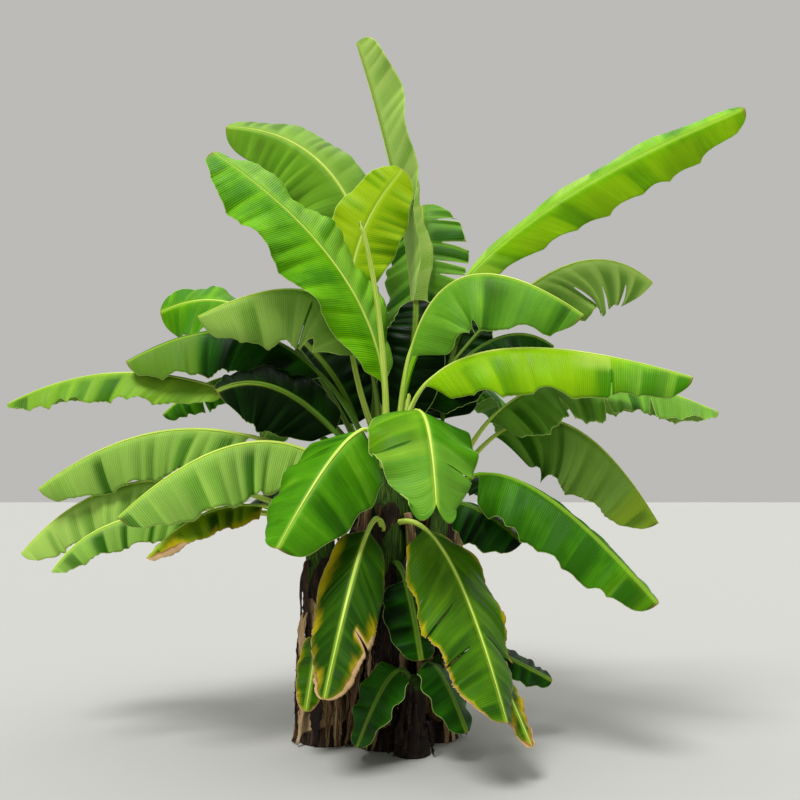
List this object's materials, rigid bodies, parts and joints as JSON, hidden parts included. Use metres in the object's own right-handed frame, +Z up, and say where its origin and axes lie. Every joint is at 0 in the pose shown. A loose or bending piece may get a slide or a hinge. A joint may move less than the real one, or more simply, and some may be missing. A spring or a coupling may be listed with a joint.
{
  "type": "japanese fiber banana",
  "caption": "Clump of leafy stems rooted in the ground, with broad arching paddle leaves round an upright furled spear and small pups at the foot.",
  "frame": {"origin": "middle of the flat cut under the main stem, at ground level", "axes": "+Z up, +X to the right and +Y to the back as the plant is seen in the picture"},
  "size_m": [3.5104, 2.0904, 3.47],
  "materials": {
    "stem": "matt dried sheaths",
    "leaf_fresh": "satin leaf",
    "leaf_green": "satin leaf",
    "leaf_shade": "satin leaf",
    "leaf_old": "dull ageing leaf"
  },
  "bodies": {
    "root": {"stem_main": "stem", "stem_left": "stem", "stem_right": "stem", "stem_back": "stem", "stem_pup": "stem", "leaf_tall_spear": "leaf_fresh", "leaf_high_left": "leaf_fresh", "leaf_high_glow": "leaf_fresh", "leaf_high_right": "leaf_fresh", "leaf_furled": "leaf_fresh", "leaf_right_arch": "leaf_green", "leaf_left_grey": "leaf_green", "leaf_right_bright": "leaf_fresh", "leaf_front_centre": "leaf_green", "leaf_front_left": "leaf_green", "leaf_left_dark": "leaf_shade", "leaf_left_far": "leaf_green", "leaf_left_shade": "leaf_shade", "leaf_left_low_top": "leaf_green", "leaf_left_low_middle": "leaf_green", "leaf_fallen_left": "leaf_old", "leaf_fallen_right": "leaf_old", "leaf_fallen_inner": "leaf_shade", "leaf_fallen_tip": "leaf_old", "leaf_left_low_far": "leaf_green", "leaf_left_low_end": "leaf_green", "leaf_left_low_brown": "leaf_old", "leaf_left_foot": "leaf_old", "leaf_right_ragged": "leaf_green", "leaf_right_low_back": "leaf_green", "leaf_right_low_front": "leaf_green", "leaf_right_old": "leaf_shade", "leaf_heart_right": "leaf_shade", "leaf_right_foot": "leaf_shade", "leaf_back_low_right": "leaf_shade", "leaf_high_left_back": "leaf_green", "leaf_high_torn": "leaf_green", "leaf_right_torn": "leaf_green", "leaf_right_inner": "leaf_shade", "leaf_left_bright": "leaf_fresh", "leaf_left_ragged": "leaf_green", "leaf_centre_dark": "leaf_shade", "leaf_heart_left": "leaf_shade", "leaf_back_high": "leaf_green", "leaf_back_left": "leaf_green", "leaf_back_right": "leaf_green", "leaf_back_low": "leaf_shade", "leaf_back_low_left": "leaf_shade", "leaf_pup_left": "leaf_shade", "leaf_pup_right": "leaf_shade"}
  },
  "joints": []
}
